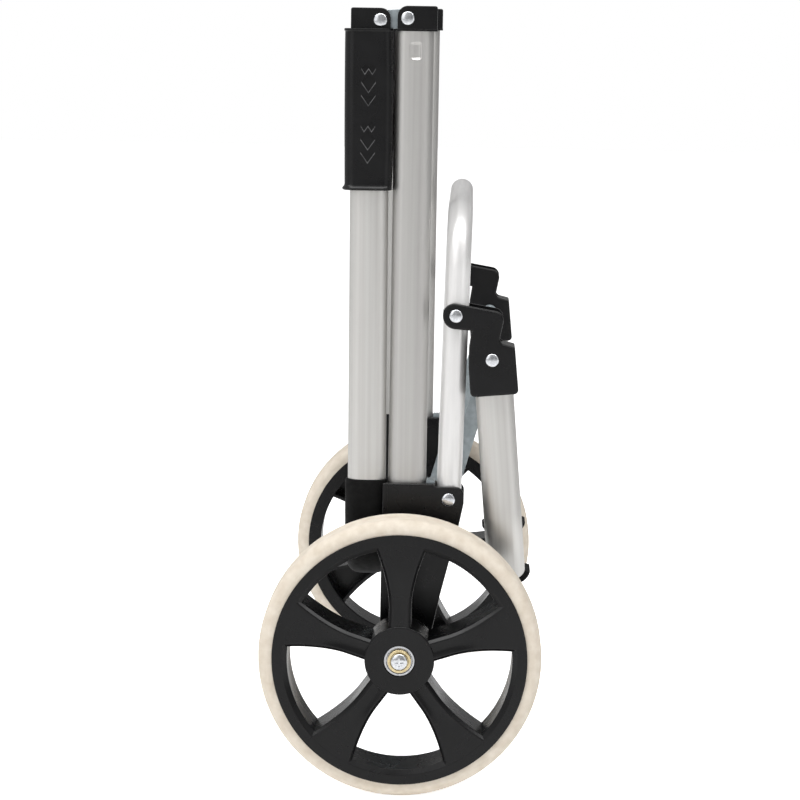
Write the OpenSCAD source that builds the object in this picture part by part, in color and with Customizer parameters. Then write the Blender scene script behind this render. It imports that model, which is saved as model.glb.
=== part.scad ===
// Folding two-wheel trolley chassis of a pet stroller, shown folded flat.
// +X points forward, +Y to the left, +Z up; the origin is on the floor under the axle.

/* [Wheels] */
// Outer diameter of each tyre
wheel_d = 200; // [190:1:215]
// Distance between the wheels' centre planes
track = 396; // [392:1:440]
// Width of the rim and hub along the axle
rim_w = 36; // [34:1:38]
// Radius of the rim's outer flange
rim_r = 90; // [88:0.5:92]
// Inner radius of the rim
rim_inner_r = 79.4; // [77:0.1:81]
// Radius of the boss around the bearings
boss_r = 24.6; // [20:0.1:26]
// Number of spokes
spoke_count = 5; // [4:1:6]
// How far the left hub is turned against the right one, in degrees
left_hub_turn = -23.5; // [-36:0.5:36]
// Radius of the axle rod
axle_r = 4; // [4:0.5:4]

/* [Main frame] */
// Distance between the centre planes of the two frame tubes
frame_w = 300; // [296:1:304]
// Width of the oval tube, along X when upright
tube_w = 27.4; // [26:0.1:28]
// Thickness of the oval tube, along Y
tube_t = 15; // [14:0.1:15]
// Wall of the tubes
wall = 1.5; // [1:0.1:2]
// Centre line of the main tubes
main_x = 1.8; // [1:0.1:2]
// Lower end of the main tubes
main_bottom = 216.5; // [210:0.5:220]
// Upper end of the main tubes
main_top = 537.4; // [520:0.1:560]

/* [Handle] */
// Centre line of the folded handle's tubes at their upper end
handle_x = -29; // [-30:0.1:-29]
// Lean of the folded handle, in degrees
handle_lean = 0.3; // [0:0.05:0.4]
// Height of the folded handle's cross bar
handle_bar_z = 145.9; // [140:0.1:160]
// Centre-line radius of the handle's two bends
handle_bend = 55; // [45:1:60]
// Upper end of the soft grip
grip_top = 218; // [205:1:250]
// Length of each locking sleeve
sleeve_len = 113; // [100:1:120]

/* [Folding scoop and leg] */
// Diameter of the round scoop tube
scoop_d = 18; // [16:0.5:18]
// Forward lean of the folded scoop, in degrees
scoop_lean = 1.25; // [1:0.05:1.5]
// Length from the scoop's pivot to its cross bar
scoop_len = 204; // [195:0.5:215]
// Centre-line radius of the scoop's bends
scoop_bend = 40; // [36:1:44]
// Forward lean of the folded leg, in degrees
leg_lean = 5.0; // [4:0.1:6]
// Height of the folded leg's cross bar
leg_bar_z = 142.5; // [138:0.5:155]
// Width of each flat strut
strut_w = 11.8; // [10:0.1:13]
// Thickness of each flat strut
strut_t = 2.5; // [2:0.1:2.5]

/* [Hidden] */
$fn = 96;

// Lateral places, for the right side (negative Y)
axle_z = wheel_d / 2;
wheel_y = track / 2;
frame_y = frame_w / 2;
rim_half = rim_w / 2;

// Pivots, as [x, z]
knee_rise = 132.6;
link_pivot = [-2.9, 546.3];
handle_pivot = [-22, 544.7];
scoop_pivot = [32, 205.6];
knee_pivot = [scoop_pivot[0] + knee_rise * tan(scoop_lean), scoop_pivot[1] + knee_rise];
leg_pivot = [61.2, 307.1];
strut_pivot = [5, 112.1];
pin_r = 2.5;
pin_play = 0.05;
head_r = 4.7;
head_h = 1.6;

// Distances from a frame tube's centre plane
scoop_r = scoop_d / 2;
cheek_in = scoop_r + 0.4;
cheek_t = 3.2;
cheek_out = cheek_in + cheek_t;
strut_gap = 0.5;
strut_in = cheek_out + strut_gap;
strut_out = strut_in + strut_t;

// Hinge caps
cap_half = 7.6;
cap_w = 27.8;
cap_edge = 7.1;
cap_round = 7.2;
main_cap_top = 554.9;
handle_cap_top = 553.2;
plug_len = 22;
plug_gap = wall + 0.05;
link_r = 6.7;
link_t = 3.6;
link_slot = 4.4;
link_gap = 0.4;

// Locking sleeve, measured from its handle tube's centre line
sleeve_top = 1.5;
sleeve_travel = 33;
sleeve_front = 15.9;
sleeve_back = 17.7;
sleeve_half = 11.2;
sleeve_bore_x = 14.4;
sleeve_bore_y = 9.4;
sleeve_lip = 0.7;

// Rails
rail_z = 497.5;
rail_hole_r = 2.6;
rail_hole_y = 60;
low_rail = [3, 190];
low_rail_r = 8;

// Bearings, washers and end screws
bearing_r = 11;
bearing_w = 7;
bearing_bore_r = axle_r + 0.04;
boss_gap = 0.4;
washer_r = 8.75;
washer_t = 1.2;
screw_r = 5.9;
axle_half = wheel_y + rim_half + 0.4;

// ---- helpers -------------------------------------------------------------

// Draws a right-hand part, or its mirror image for the left side
module on_side(left) {
    if (left) mirror([0, 1, 0]) children();
    else children();
}

module both_sides() {
    on_side(false) children();
    on_side(true) children();
}

// Extrudes an X-Z outline from y0 to y1
module slab(y0, y1) {
    translate([0, y1, 0]) rotate([90, 0, 0]) linear_extrude(y1 - y0) children();
}

// A round rod along Y from y0 to y1 at the point p = [x, z]
module rod(r, y0, y1, p = [0, 0]) {
    translate([p[0], y1, p[1]]) rotate([90, 0, 0]) cylinder(r = r, h = y1 - y0);
}

// The Y at a distance d outboard of the right-hand frame tube's centre plane
function near(d) = -frame_y - d;

module oval(w, t) {
    if (w - t > 0.01) {
        square([w - t, t], center = true);
        for (s = [-1, 1]) translate([s * (w - t) / 2, 0]) circle(d = t);
    } else circle(d = t);
}

module tube_profile(w, t) {
    difference() {
        oval(w, t);
        oval(w - 2 * wall, t - 2 * wall);
    }
}

// Sweeps a profile along a U: legs up from z = 0, cross bar at z = -bend
module u_sweep(half_span, leg, bend) {
    straight = half_span - bend;
    for (s = [0, 1]) mirror([0, s, 0]) {
        translate([0, half_span, 0]) linear_extrude(leg) children();
        translate([0, straight, 0]) rotate([0, 90, 0])
            rotate_extrude(angle = 90) translate([bend, 0]) rotate(90) children();
    }
    translate([0, -straight, -bend]) rotate([-90, 0, 0])
        linear_extrude(2 * straight) children();
}

// A flat bar with round ends at p and q, and a pivot hole at p, or at both
module bar_outline(p, q, w, both_holes) {
    run = q - p;
    length = norm(run);
    hole_r = pin_r + pin_play;
    translate(p) rotate(atan2(run[1], run[0])) difference() {
        union() {
            translate([0, -w / 2]) square([length, w]);
            circle(d = w);
            translate([length, 0]) circle(d = w);
        }
        circle(r = hole_r);
        if (both_holes) translate([length, 0]) circle(r = hole_r);
    }
}

// Domed rivet head, its flat face at y = 0 and its dome towards -Y
module dome_head(r = head_r, h = head_h) {
    ball = (r * r + h * h) / (2 * h);
    rotate([90, 0, 0]) intersection() {
        translate([0, 0, h - ball]) sphere(r = ball);
        cylinder(r = r, h = h);
    }
}

// A rivet from y0 to y1, its head on the outboard end at y0
module rivet(p, y0, y1) {
    rod(pin_r, y0, y1, p);
    translate([p[0], y0, p[1]]) dome_head();
}

// A rivet across both cheeks of a bracket, flush on the inboard side
module cheek_rivet(p) {
    rivet(p, near(cheek_out), near(-cheek_out));
}

// ---- main frame ----------------------------------------------------------

module main_tube() {
    translate([main_x, -frame_y, main_bottom])
        linear_extrude(main_top - main_bottom) tube_profile(tube_w, tube_t);
}

// Outline of a hinge cap whose rounded corner faces +X, relative to its pivot
module cap_outline(top, bottom) {
    difference() {
        union() {
            translate([cap_edge - cap_w, bottom]) square([cap_w, top - cap_round - bottom]);
            translate([cap_edge - cap_w, bottom]) square([cap_w - cap_round, top - bottom]);
            translate([cap_edge - cap_round, top - cap_round]) circle(r = cap_round);
        }
        circle(r = pin_r);
    }
}

// Slot for the link plate, open at the top and on the +X side of the pivot
module cap_slot(top) {
    reach = link_r + link_gap;
    depth = reach + 0.9;
    translate([-reach, -depth]) square([cap_edge + reach + 1, top + depth + 1]);
}

// Cap in its pivot's frame: body, link slot and a plug for the tube below it
module hinge_cap(top, bottom, plug_x, lean) {
    difference() {
        slab(-cap_half, cap_half) cap_outline(top, bottom);
        slab(-link_slot / 2, link_slot / 2) cap_slot(top);
    }
    translate([plug_x, 0, bottom]) rotate([0, -lean, 0]) translate([0, 0, -plug_len])
        linear_extrude(plug_len + 0.2) oval(tube_w - 2 * plug_gap, tube_t - 2 * plug_gap);
}

module main_hinge_cap() {
    translate([link_pivot[0], -frame_y, link_pivot[1]]) mirror([1, 0, 0])
        hinge_cap(main_cap_top - link_pivot[1], main_top - link_pivot[1],
                  link_pivot[0] - main_x, 0);
}

module hinge_rivet(p) {
    rivet(p, near(cap_half), near(-cap_half));
    translate([p[0], near(-cap_half), p[1]]) mirror([0, 1, 0]) dome_head();
}

bracket_left = -15.4;
bracket_core = -11.5;
bracket_step = [23, 214.6];
bracket_corner = [35.6, 207.2];
bracket_corner_r = 7.4;
bracket_foot = [1, 17];

// Outline of the base bracket: top shelf, scoop corner, then tapering to the axle
module bracket_outline() {
    polygon([
        [bracket_left - 0.6, axle_z], [bracket_left, main_bottom], [20.5, main_bottom],
        bracket_step, [bracket_corner[0], bracket_step[1]],
        [bracket_corner[0] + bracket_corner_r, bracket_corner[1]], [42.9, 203],
        [39.5, 185.4], [32.1, 156.5], [27.2, 135.3], [bracket_foot[0] + bracket_foot[1], 98]
    ]);
    translate(bracket_corner) circle(r = bracket_corner_r);
    translate([bracket_foot[0], axle_z]) circle(r = bracket_foot[1]);
}

module bracket_limit(x_min) {
    translate([x_min, 0]) square([100, main_top]);
}

// Room for the scoop's lower end between the cheeks
module scoop_slot() {
    translate([scoop_pivot[0] - scoop_r - 0.7, scoop_pivot[1] - scoop_r - 0.7])
        square([100, 100]);
}

module base_bracket() {
    difference() {
        union() {
            slab(near(cheek_out), near(cheek_in)) bracket_outline();
            slab(near(cheek_in), near(-cheek_out)) intersection() {
                bracket_outline();
                bracket_limit(bracket_core);
            }
            translate([main_x, -frame_y, main_bottom - 1])
                linear_extrude(31) oval(tube_w - 2 * wall, tube_t - 2 * wall);
        }
        slab(near(cheek_in), near(-cheek_in)) scoop_slot();
        rod(axle_r, near(20), near(-20), [0, axle_z]);
        rod(pin_r, near(20), near(-20), scoop_pivot);
        rod(pin_r, near(0), near(-20), strut_pivot);
    }
}

// Spring clip that wedges the tube in its socket
module socket_clip() {
    lip_x = main_x + tube_w / 2 + 0.3;
    translate([lip_x, near(7), main_bottom]) cube([6, 14, 1.2]);
    for (i = [0 : 3])
        translate([lip_x + 0.6 + 1.4 * i, near(6), main_bottom + 1.2]) cube([0.7, 12, 0.8]);
}

module upper_cross_rail() {
    half = frame_y - tube_t / 2;
    difference() {
        translate([main_x - 5, -half, rail_z - 11]) cube([10, 2 * half, 22]);
        translate([main_x - 5 + wall, -half - 1, rail_z - 11 + wall])
            cube([10 - 2 * wall, 2 * half + 2, 22 - 2 * wall]);
        for (s = [-1, 1]) translate([main_x - 10, s * rail_hole_y, rail_z])
            rotate([0, 90, 0]) cylinder(r = rail_hole_r, h = 20);
    }
}

module lower_cross_rail() {
    half = frame_y - cheek_out;
    difference() {
        rod(low_rail_r, -half, half, low_rail);
        rod(low_rail_r - wall, -half - 1, half + 1, low_rail);
    }
}

// ---- axle ----------------------------------------------------------------

module axle() {
    difference() {
        rod(axle_r, -axle_half, axle_half, [0, axle_z]);
        both_sides() rod(pin_r, -axle_half - 1, -axle_half + 14, [0, axle_z]);
    }
}

module axle_spacer() {
    difference() {
        rod(7, -wheel_y + rim_half + boss_gap, near(cheek_out), [0, axle_z]);
        rod(axle_r, -wheel_y, -frame_y, [0, axle_z]);
    }
}

module axle_washer() {
    difference() {
        rod(washer_r, -axle_half - washer_t, -axle_half, [0, axle_z]);
        rod(pin_r, -axle_half - 2 * washer_t, -axle_half + 1, [0, axle_z]);
    }
}

module axle_screw() {
    rim = 1.2;
    seat = -axle_half - washer_t;
    rod(pin_r, seat, -axle_half + 14, [0, axle_z]);
    difference() {
        union() {
            rod(screw_r, seat - rim, seat, [0, axle_z]);
            translate([0, seat - rim, axle_z]) dome_head(screw_r, 2);
        }
        for (a = [0, 90]) translate([0, seat - 3, axle_z]) rotate([0, a, 0])
            cube([6, 4, 1.1], center = true);
    }
}

// ---- hinge links ---------------------------------------------------------

module hinge_link() {
    slab(near(link_t / 2), near(-link_t / 2))
        bar_outline(handle_pivot, link_pivot, 2 * link_r, true);
}

// ---- handle --------------------------------------------------------------

// Frame of the handle: origin at the upper end of its tubes
module handle_frame() {
    translate([handle_x, 0, main_top]) rotate([0, -handle_lean, 0]) children();
}

handle_drop = main_top - handle_bar_z - handle_bend;

module handle_tube() {
    handle_frame() translate([0, 0, -handle_drop])
        u_sweep(frame_y, handle_drop, handle_bend) tube_profile(tube_w, tube_t);
}

grip_wall = 1.2;
grip_shift = -0.35;

module grip_profile() {
    difference() {
        translate([grip_shift, 0])
            oval(tube_w + 2 * grip_wall - 2 * grip_shift, tube_t + 2 * grip_wall);
        oval(tube_w, tube_t);
    }
}

module handle_grip() {
    handle_frame() translate([0, 0, -handle_drop])
        u_sweep(frame_y, grip_top - handle_bar_z - handle_bend, handle_bend) grip_profile();
}

module handle_hinge_cap() {
    translate([handle_pivot[0], -frame_y, handle_pivot[1]])
        hinge_cap(handle_cap_top - handle_pivot[1], main_top - handle_pivot[1],
                  handle_x - handle_pivot[0], handle_lean);
}

// ---- locking sleeve ------------------------------------------------------

module sleeve_ring(grow) {
    r = 7;
    x0 = -sleeve_back - grow;
    x1 = sleeve_front;
    y = sleeve_half + grow;
    translate([x0, -y + r]) square([x1 - x0, 2 * (y - r)]);
    translate([x0 + r, -y]) square([x1 - x0 - 2 * r, 2 * y]);
    for (x = [x0 + r, x1 - r], s = [-1, 1]) translate([x, s * (y - r)]) circle(r = r);
}

module lock_sleeve() {
    lip_h = 2.5;
    slot_len = sleeve_travel + 3;
    slot_w = link_t + 1.4;
    handle_frame() translate([0, -frame_y, sleeve_top - sleeve_len]) difference() {
        union() {
            linear_extrude(sleeve_len) sleeve_ring(0);
            linear_extrude(lip_h) sleeve_ring(sleeve_lip);
            translate([0, 0, sleeve_len - lip_h]) linear_extrude(lip_h) sleeve_ring(sleeve_lip);
        }
        translate([0, 0, -1]) linear_extrude(sleeve_len + 2)
            square([2 * sleeve_bore_x, 2 * sleeve_bore_y], center = true);
        translate([0, -slot_w / 2, sleeve_len - slot_len])
            cube([sleeve_front + 2, slot_w, slot_len + 1]);
    }
}

// ---- scoop ---------------------------------------------------------------

module scoop_frame() {
    translate([scoop_pivot[0], 0, scoop_pivot[1]]) rotate([0, scoop_lean, 0]) children();
}

module scoop_tube() {
    leg = scoop_len - scoop_bend;
    difference() {
        union() {
            scoop_frame() translate([0, 0, leg]) mirror([0, 0, 1])
                u_sweep(frame_y, leg, scoop_bend) tube_profile(scoop_d, scoop_d);
            both_sides() rod(scoop_r - 0.5, near(scoop_r - 1.2), near(1.2 - scoop_r), scoop_pivot);
        }
        both_sides() rod(pin_r + pin_play, near(20), near(-20), scoop_pivot);
        both_sides() rod(pin_r, near(20), near(-20), knee_pivot);
    }
}

// ---- leg -----------------------------------------------------------------

knee_corner = [62.3, 335.6];
knee_corner_r = 6.6;
knee_arm_r = 9.4;
knee_web_top = 318.5;

// Outline of the knee bracket: rounded arm to the scoop, socket for the leg
module knee_outline() {
    polygon([
        [36.6, knee_pivot[1] + knee_arm_r], [63.4, 342.1], [68.9, 335.6], [66.4, 323],
        [69.4, 318.5], [76.8, 316.7], [80.3, 286.1], [77.4, 282.8], [50.8, 280.3], [46.4, 281.7],
        [44.6, 300.7], [44.6, 313.6], [45.3, 318.6], [46.4, 327], [41.9, 328.7],
        [knee_pivot[0], knee_pivot[1] - knee_arm_r]
    ]);
    translate(knee_pivot) circle(r = knee_arm_r);
    translate(knee_corner) circle(r = knee_corner_r);
}

// Frame of the leg: origin on its cross bar's line, Z along the tubes
module leg_frame() {
    drop = leg_pivot[1] - leg_bar_z;
    translate([leg_pivot[0] + drop * tan(leg_lean), 0, leg_bar_z])
        rotate([0, -leg_lean, 0]) children();
}

leg_bend = 50;
leg_len = 170;

module leg_tube() {
    difference() {
        leg_frame() translate([0, 0, leg_bend])
            u_sweep(frame_y, leg_len - leg_bend, leg_bend) tube_profile(tube_w, tube_t);
        both_sides() rod(pin_r, near(20), near(-20), leg_pivot);
    }
}

module leg_cavity() {
    leg_frame() translate([0, -frame_y, leg_bend]) linear_extrude(leg_len - leg_bend)
        oval(tube_w, tube_t);
}

module knee_bracket() {
    difference() {
        union() {
            slab(near(cheek_out), near(cheek_in)) knee_outline();
            slab(near(-cheek_in), near(-cheek_out)) knee_outline();
            slab(near(cheek_in), near(-cheek_in)) intersection() {
                knee_outline();
                square([200, knee_web_top]);
            }
        }
        leg_cavity();
        rod(pin_r + pin_play, near(20), near(-20), knee_pivot);
        rod(pin_r, near(20), near(-20), leg_pivot);
    }
}

foot_wall = 4.4;
foot_brim = 2;

// Rubber foot under the cross bar beside each bend
module leg_foot() {
    half = 14;
    leg_frame() translate([0, -frame_y + leg_bend + half - 4, 0]) difference() {
        intersection() {
            slab(-half, half) oval(tube_w + 2 * foot_wall, tube_t + 2 * foot_wall);
            translate([-40, -half, -40]) cube([80, 2 * half, 40 - foot_brim]);
        }
        slab(-half - 1, half + 1) oval(tube_w, tube_t);
    }
}

// ---- struts --------------------------------------------------------------

module strut() {
    slab(near(-strut_in), near(-strut_out))
        bar_outline(strut_pivot, leg_pivot, strut_w, false);
    translate([leg_pivot[0], near(-strut_out), leg_pivot[1]]) mirror([0, 1, 0]) dome_head();
}

module strut_pivot_rivet() {
    rod(pin_r, near(0), near(-strut_out - 0.3), strut_pivot);
    translate([strut_pivot[0], near(-strut_out - 0.3), strut_pivot[1]])
        mirror([0, 1, 0]) dome_head();
}

// ---- wheels --------------------------------------------------------------

// Half width of a spoke at radius r: straight by the boss, flaring to the rim
function spoke_half(r) = 7.8 + 9.2 * pow(max(0, (r - 38) / 40), 1.7);

spoke_from = 18;
spoke_to = 82;

module spoke_outline(from, to, trim) {
    steps = 12;
    span = to - from;
    up = [for (i = [0 : steps]) let (r = from + span * i / steps) [r, spoke_half(r) - trim]];
    down = [for (i = [steps : -1 : 0]) let (r = from + span * i / steps)
        [r, trim - spoke_half(r)]];
    polygon(concat(up, down));
}

// Wheel frame: axis along +Z, outer face towards +Z, first spoke along +Y
module wheel_frame() {
    translate([0, -wheel_y, axle_z]) rotate([90, 0, 0]) children();
}

module rim_profile() {
    seat = rim_r - 4.6;
    flange = 1.4;
    translate([rim_inner_r, -rim_half]) square([seat - rim_inner_r, rim_w]);
    for (s = [-1, 1])
        translate([rim_inner_r, s * (rim_half - flange / 2) - flange / 2])
            square([rim_r - rim_inner_r, flange]);
}

// The hub is one moulding, held here as its rim, its spokes and its boss
module wheel_rim() {
    wheel_frame() rotate_extrude() rim_profile();
}

module wheel_boss() {
    wheel_frame() difference() {
        translate([0, 0, -rim_half]) cylinder(r = boss_r, h = rim_w);
        translate([0, 0, -rim_half - 1]) cylinder(r = bearing_r - 2.5, h = rim_w + 2);
        for (s = [-1, 1]) translate([0, 0, s * (rim_half - bearing_w / 2)])
            cylinder(r = bearing_r, h = bearing_w + 0.001, center = true);
    }
}

// One hollow-backed spoke along +X, from the boss to the rim
module spoke() {
    face = rim_half - 2;
    rib = 2.6;
    pocket = 22;
    difference() {
        translate([0, 0, -face]) linear_extrude(2 * face) intersection() {
            spoke_outline(spoke_from, spoke_to, 0);
            difference() {
                circle(r = rim_inner_r);
                circle(r = boss_r);
            }
        }
        translate([0, 0, -face - 1]) linear_extrude(pocket + 1)
            spoke_outline(boss_r + rib, rim_inner_r - rib, rib);
    }
}

module wheel_spokes(turn) {
    wheel_frame() for (i = [0 : spoke_count - 1])
        rotate(90 + turn + i * 360 / spoke_count) spoke();
}

module tyre_profile() {
    base = rim_r - 4.5;
    half = rim_half - 1.5;
    round_r = 8;
    top = wheel_d / 2;
    translate([base, -half]) square([top - round_r - base, 2 * half]);
    translate([base, round_r - half]) square([top - base, 2 * (half - round_r)]);
    intersection() {
        for (s = [-1, 1]) translate([top - round_r, s * (half - round_r)]) circle(r = round_r);
        translate([base, -half]) square([top - base, 2 * half]);
    }
}

module tyre() {
    wheel_frame() rotate_extrude($fn = 180) tyre_profile();
}

module bearing_profile() {
    difference() {
        translate([bearing_bore_r, -bearing_w / 2])
            square([bearing_r - bearing_bore_r, bearing_w]);
        for (s = [-1, 1]) translate([7.6, s * bearing_w / 2])
            square([3, 0.8], center = true);
    }
}

module bearings() {
    wheel_frame() for (s = [-1, 1]) translate([0, 0, s * (rim_half - bearing_w / 2)])
        rotate_extrude() bearing_profile();
}

// ---- colours and nodes ---------------------------------------------------

module aluminium() { color([0.80, 0.80, 0.79]) children(); }
module plastic() { color([0.10, 0.10, 0.11]) children(); }
module soft_black() { color([0.07, 0.07, 0.07]) children(); }
module steel() { color([0.66, 0.70, 0.72]) children(); }
module chrome() { color([0.88, 0.88, 0.90]) children(); }
module zinc_gold() { color([0.83, 0.72, 0.42]) children(); }
module cream() { color([0.93, 0.88, 0.80]) children(); }

aluminium() main_tube();  // main_tube_right
aluminium() on_side(true) main_tube();  // main_tube_left
plastic() main_hinge_cap();  // main_hinge_cap_right
plastic() on_side(true) main_hinge_cap();  // main_hinge_cap_left
plastic() base_bracket();  // base_bracket_right
plastic() on_side(true) base_bracket();  // base_bracket_left
steel() both_sides() socket_clip();  // socket_clips
aluminium() upper_cross_rail();
aluminium() lower_cross_rail();
steel() axle();
plastic() both_sides() axle_spacer();  // axle_spacers
zinc_gold() both_sides() axle_washer();  // axle_washers
chrome() both_sides() axle_screw();  // axle_screws
chrome() both_sides() hinge_rivet(link_pivot);  // main_hinge_rivets
chrome() both_sides()  // scoop_pivot_rivets
    cheek_rivet(scoop_pivot);
chrome() both_sides() strut_pivot_rivet();  // strut_pivot_rivets
steel() hinge_link();  // hinge_link_right
steel() on_side(true) hinge_link();  // hinge_link_left
chrome() both_sides()  // handle_hinge_rivets
    hinge_rivet(handle_pivot);
aluminium() handle_tube();
soft_black() handle_grip();
plastic() handle_hinge_cap();  // handle_hinge_cap_right
plastic() on_side(true) handle_hinge_cap();  // handle_hinge_cap_left
plastic() lock_sleeve();  // lock_sleeve_right
plastic() on_side(true) lock_sleeve();  // lock_sleeve_left
aluminium() scoop_tube();
chrome() both_sides() cheek_rivet(knee_pivot);  // knee_rivets
aluminium() leg_tube();
plastic() knee_bracket();  // knee_bracket_right
plastic() on_side(true) knee_bracket();  // knee_bracket_left
chrome() both_sides() cheek_rivet(leg_pivot);  // leg_strut_rivets
soft_black() leg_foot();  // leg_foot_right
soft_black() on_side(true) leg_foot();  // leg_foot_left
steel() strut();  // strut_right
steel() on_side(true) strut();  // strut_left
plastic() wheel_rim();  // wheel_rim_right
plastic() wheel_spokes(0);  // wheel_spokes_right
plastic() wheel_boss();  // wheel_boss_right
cream() tyre();  // tyre_right
chrome() bearings();  // bearings_right
plastic() on_side(true) wheel_rim();  // wheel_rim_left
plastic() on_side(true)  // wheel_spokes_left
    wheel_spokes(left_hub_turn);
plastic() on_side(true) wheel_boss();  // wheel_boss_left
cream() on_side(true) tyre();  // tyre_left
chrome() on_side(true) bearings();  // bearings_left
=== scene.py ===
"""Looks of the folded trolley chassis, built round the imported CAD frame. Sizes are in millimetres."""
import math

import bmesh
import bpy
import numpy as np
from mathutils import Matrix, Vector


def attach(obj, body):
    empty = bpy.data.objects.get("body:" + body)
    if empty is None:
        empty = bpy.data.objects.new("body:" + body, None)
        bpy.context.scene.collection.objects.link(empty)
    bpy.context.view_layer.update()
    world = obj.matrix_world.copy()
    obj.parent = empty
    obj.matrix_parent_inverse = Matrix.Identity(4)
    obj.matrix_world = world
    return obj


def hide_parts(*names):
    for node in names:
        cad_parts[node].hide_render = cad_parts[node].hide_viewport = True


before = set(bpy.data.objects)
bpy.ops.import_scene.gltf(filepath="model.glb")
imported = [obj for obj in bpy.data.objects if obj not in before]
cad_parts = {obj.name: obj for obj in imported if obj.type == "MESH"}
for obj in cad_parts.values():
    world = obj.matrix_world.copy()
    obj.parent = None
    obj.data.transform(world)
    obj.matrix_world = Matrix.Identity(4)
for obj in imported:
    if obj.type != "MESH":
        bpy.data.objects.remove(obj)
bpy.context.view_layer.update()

MM = 0.001
UV = "along"                    # name of the map that runs along a tube
CRISP = 34                      # edges sharper than this many degrees stay crisp
WELD = 2e-6                     # points closer than this, in metres, become one
FRAME_Y = 150.0                 # frame tubes, from the middle
WHEEL_Y = 198.0                 # wheels, from the middle
AXLE_Z = 100.0
TUBE_FOOT, TUBE_TOP = 216.5, 537.4
TUBE_X = 1.8                    # main tube's axis
HANDLE_X = -29.0                # handle tube's axis at its hinge
OVAL_W, OVAL_T = 27.4, 15.0     # oval tube, wide and thick
CROWN = 0.24                    # how much the oval tube's flats are crowned
SCOOP_TUBE = 18.0
AXLE = (0.0, AXLE_Z)

# Planes of the right side's pieces, along Y
CHEEK_OUT, CHEEK_IN = -162.6, -137.4     # base bracket and knee bracket
INNER_OUT, INNER_IN = -159.4, -140.6     # space between their cheeks
CAP_OUT, CAP_IN = -157.6, -142.4         # hinge caps
STRUT_OUT, STRUT_IN = -136.9, -134.4     # flat strut inside the bracket
LINK_Y = (-151.8, -148.2)                # hinge link
CAP_SLOT_Y = (-152.2, -147.8)            # its slot in the caps
SLEEVE_SLOT_Y = (-152.5, -147.5)         # and in the lock sleeve
ARROW_RECESS_Y = (-163, -160.3)          # the arrows' recesses, from outside the sleeve's face
ARROW_HIGHLIGHT_Y = (-161.3, -160.5)          # and the painted highlight strips along their lower edges, light grey where the upward-facing walls would catch the top light
WASHER_Y = -216.4                        # washer against the bearing

# Pivots, as X and Z
LINK = (-2.9, 546.3)            # hinge link's pin in the main tube's cap
HINGE = (-22.0, 544.7)          # and in the handle's cap
SCOOP = (32.0, 205.6)
SCOOP_LEAN = 1.25
SCOOP_REACH = 132.6             # up from the scoop's pivot to the knee
KNEE = (SCOOP[0] + SCOOP_REACH * math.tan(math.radians(SCOOP_LEAN)), SCOOP[1] + SCOOP_REACH)
LEG = (61.2, 307.1)
STRUT = (5.0, 112.1)


# ---- shapes ---------------------------------------------------------------
# A chunk is (vertices, faces, corner UVs or None). Right-hand chunks have negative Y.

def place(origin, lean=0.0):
    """Moves points from a leaning sub-frame, turned about Y, to the object's frame."""
    a = math.radians(lean)
    turn = np.array([[math.cos(a), 0, math.sin(a)], [0, 1, 0], [-math.sin(a), 0, math.cos(a)]])
    return lambda p: np.asarray(p, float) @ turn.T + np.array(origin, float)


def mirror(chunk):
    """The chunk on the other side of the middle plane."""
    v, f, uv = chunk
    return v * np.array([1, -1, 1]), f, uv


def both(*chunks):
    """The chunks and their mirror images."""
    return list(chunks) + [mirror(c) for c in chunks]


def loft(rings, loop=False):
    """Skins a row of closed rings, with a cap on each end unless the row is a loop."""
    r = np.asarray(rings, float)
    n, m = r.shape[:2]
    around = np.linalg.norm(np.diff(np.concatenate([r, r[:, :1]], 1), axis=1), axis=2)
    u = np.concatenate([[0], np.cumsum(around.mean(0))]) * MM
    v = np.concatenate([[0], np.cumsum(np.linalg.norm(np.diff(r.mean(1), axis=0), axis=1))]) * MM
    if loop:
        v = np.linspace(0, np.linalg.norm(r[:, 0] - r[:, 0].mean(0), axis=1).mean() * 6.28 * MM, n + 1)
    faces, uvs = [], []
    for i in range(n if loop else n - 1):
        k = (i + 1) % n
        for j in range(m):
            l = (j + 1) % m
            faces.append((i * m + j, i * m + l, k * m + l, k * m + j))
            uvs.append(((u[j], v[i]), (u[j + 1], v[i]), (u[j + 1], v[i + 1]), (u[j], v[i + 1])))
    if not loop:
        for first in (0, (n - 1) * m):
            faces.append(tuple(range(first, first + m)))
            uvs.append(tuple((0, 0) for _ in range(m)))
    return r.reshape(-1, 3), faces, uvs


def rounded(corners, steps=7):
    """Outline with an arc at each (x, z, radius) corner."""
    out, n = [], len(corners)
    for i, (x, z, r) in enumerate(corners):
        p = np.array([x, z], float)
        a = np.array(corners[i - 1][:2], float) - p
        b = np.array(corners[(i + 1) % n][:2], float) - p
        la, lb = np.linalg.norm(a), np.linalg.norm(b)
        a, b = a / la, b / lb
        half = math.acos(max(-1, min(1, a @ b))) / 2
        if r <= 0 or half > 1.56:
            out.append(p)
            continue
        reach = min(r / math.tan(half), 0.499 * la, 0.499 * lb)
        r = reach * math.tan(half)
        mid = a + b
        centre = p + mid / np.linalg.norm(mid) * r / math.sin(half)
        s, e = p + a * reach - centre, p + b * reach - centre
        t0, t1 = math.atan2(s[1], s[0]), math.atan2(e[1], e[0])
        d = (t1 - t0 + math.pi) % (2 * math.pi) - math.pi
        k = max(steps, int(abs(d) * r / 0.8))
        out += [centre + r * np.array([math.cos(t0 + d * j / k), math.sin(t0 + d * j / k)])
                for j in range(k + 1)]
    return np.array(out)


def disc(x, z, r, n=64):
    """Outline of a circle."""
    t = np.arange(n) * 2 * math.pi / n
    return np.stack([x + r * np.cos(t), z + r * np.sin(t)], 1)


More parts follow.
